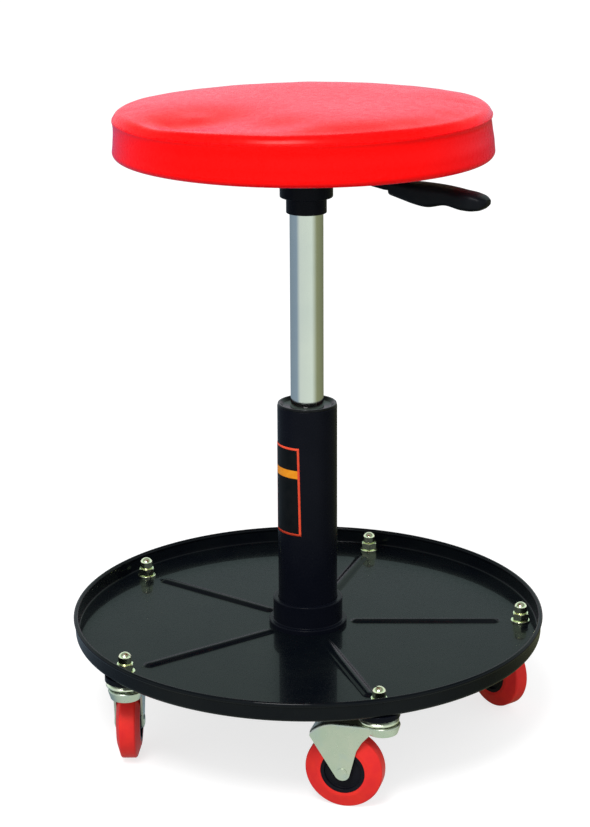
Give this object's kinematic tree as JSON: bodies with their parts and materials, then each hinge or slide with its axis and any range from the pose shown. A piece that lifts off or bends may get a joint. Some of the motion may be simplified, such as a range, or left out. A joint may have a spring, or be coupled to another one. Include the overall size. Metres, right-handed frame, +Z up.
{
  "type": "creeper seat",
  "caption": "Rolling workshop stool: round padded seat on a gas lift over a round tool tray with swivel casters.",
  "frame": {"origin": "on the floor under the column's axis, with the seat at the top of its travel", "axes": "+Z up the column; +X from the column to one of the casters; the lever points to -30 degrees from +X"},
  "size_m": [0.406, 0.406, 0.5411],
  "materials": {
    "tray_paint": "gloss",
    "frame_paint": "satin",
    "zinc_plate": "satin",
    "bright_tube": "polished",
    "plain_steel": "satin",
    "ground_steel": "polished",
    "black_plastic": "matte",
    "handle_plastic": "satin",
    "wheel_plastic": "gloss",
    "red_tyre": "satin",
    "black_rubber": "matte",
    "red_vinyl": "gloss",
    "seat_foam": "matte",
    "plywood": "raw",
    "aluminium": "satin"
  },
  "bodies": {
    "base": {"tool_tray": "tray_paint", "hub_socket": "frame_paint", "hub_ring_nut": "frame_paint", "column_tube": "frame_paint", "column_foot_plate": "frame_paint", "guide_bush": "black_plastic", "thrust_washer_lower": "ground_steel", "thrust_balls": "ground_steel", "caster_stems": "zinc_plate", "caster_races": "zinc_plate", "caster_balls": "ground_steel", "caster_spacers": "black_plastic", "caster_washers": "zinc_plate", "caster_nuts": "zinc_plate", "caster_cap_nuts": "zinc_plate"},
    "lift_rod": {"piston_rod": "ground_steel", "thrust_washer_upper": "ground_steel", "rod_clip": "plain_steel", "bump_stop": "black_rubber", "piston_head": "aluminium", "piston_seal": "black_rubber"},
    "seat": {"pressure_tube": "bright_tube", "rod_guide": "black_plastic", "cylinder_liner": "plain_steel", "valve_body": "aluminium", "taper_socket": "frame_paint", "seat_plate": "frame_paint", "plate_bolts": "zinc_plate", "plate_washers": "zinc_plate", "tee_nuts": "zinc_plate", "seat_board": "plywood", "seat_foam": "seat_foam", "cover_band": "red_vinyl", "cover_top": "red_vinyl", "cover_staples": "plain_steel", "lever_bracket": "frame_paint", "lever_pin": "zinc_plate"},
    "release_pin": {"valve_pin": "zinc_plate"},
    "lever": {"lever_rod": "frame_paint", "lever_handle": "handle_plastic"},
    "fork_right": {"fork_right": "zinc_plate", "axle_right": "zinc_plate"},
    "wheel_right": {"wheel_hub_right": "wheel_plastic", "tyre_right": "red_tyre"},
    "fork_rear_right": {"fork_rear_right": "zinc_plate", "axle_rear_right": "zinc_plate"},
    "wheel_rear_right": {"wheel_hub_rear_right": "wheel_plastic", "tyre_rear_right": "red_tyre"},
    "fork_rear_left": {"fork_rear_left": "zinc_plate", "axle_rear_left": "zinc_plate"},
    "wheel_rear_left": {"wheel_hub_rear_left": "wheel_plastic", "tyre_rear_left": "red_tyre"},
    "fork_front_left": {"fork_front_left": "zinc_plate", "axle_front_left": "zinc_plate"},
    "wheel_front_left": {"wheel_hub_front_left": "wheel_plastic", "tyre_front_left": "red_tyre"},
    "fork_front_right": {"fork_front_right": "zinc_plate", "axle_front_right": "zinc_plate"},
    "wheel_front_right": {"wheel_hub_front_right": "wheel_plastic", "tyre_front_right": "red_tyre"}
  },
  "joints": [
    {"name": "seat_turn", "type": "hinge", "parent": "base", "child": "lift_rod", "pos_m": [0, 0, 0.067], "axis": [0, 0, 1], "continuous": true},
    {"name": "seat_lift", "type": "slide", "parent": "lift_rod", "child": "seat", "axis": [0, 0, 1], "range_m": [-0.12, 0]},
    {"name": "lever_tilt", "type": "hinge", "parent": "seat", "child": "lever", "pos_m": [0.02685, -0.0155, 0.48405], "axis": [-0.5, -0.866, 0], "range_deg": [0, 5], "stiffness_Nm_per_rad": 4, "springref_deg": -5.16},
    {"name": "pin_press", "type": "slide", "parent": "seat", "child": "release_pin", "axis": [0, 0, 1], "range_m": [-0.003, 0]},
    {"name": "swivel_right", "type": "hinge", "parent": "base", "child": "fork_right", "pos_m": [0.185, 0, 0.0748], "axis": [0, 0, 1], "continuous": true},
    {"name": "roll_right", "type": "hinge", "parent": "fork_right", "child": "wheel_right", "pos_m": [0.16834, 0.02163, 0.03175], "axis": [-0.7923, -0.6101, 0], "continuous": true},
    {"name": "swivel_rear_right", "type": "hinge", "parent": "base", "child": "fork_rear_right", "pos_m": [0.05717, 0.17594, 0.0748], "axis": [0, 0, 1], "continuous": true},
    {"name": "roll_rear_right", "type": "hinge", "parent": "fork_rear_right", "child": "wheel_rear_right", "pos_m": [0.03028, 0.1712, 0.03175], "axis": [0.1736, -0.9848, 0], "continuous": true},
    {"name": "swivel_rear_left", "type": "hinge", "parent": "base", "child": "fork_rear_left", "pos_m": [-0.14967, 0.10874, 0.0748], "axis": [0, 0, 1], "continuous": true},
    {"name": "roll_rear_left", "type": "hinge", "parent": "fork_rear_left", "child": "wheel_rear_left", "pos_m": [-0.12876, 0.12629, 0.03175], "axis": [-0.6428, 0.766, 0], "continuous": true},
    {"name": "swivel_front_left", "type": "hinge", "parent": "base", "child": "fork_front_left", "pos_m": [-0.14967, -0.10874, 0.0748], "axis": [0, 0, 1], "continuous": true},
    {"name": "roll_front_left", "type": "hinge", "parent": "fork_front_left", "child": "wheel_front_left", "pos_m": [-0.14981, -0.08144, 0.03175], "axis": [-1, -0.0052, 0], "continuous": true},
    {"name": "swivel_front_right", "type": "hinge", "parent": "base", "child": "fork_front_right", "pos_m": [0.05717, -0.17594, 0.0748], "axis": [0, 0, 1], "continuous": true},
    {"name": "roll_front_right", "type": "hinge", "parent": "fork_front_right", "child": "wheel_front_right", "pos_m": [0.03076, -0.16902, 0.03175], "axis": [-0.2538, -0.9673, 0], "continuous": true}
  ],
  "couplings": [
    {"joint": "pin_press", "follows": "lever_tilt", "m_per_rad": -0.0335}
  ]
}
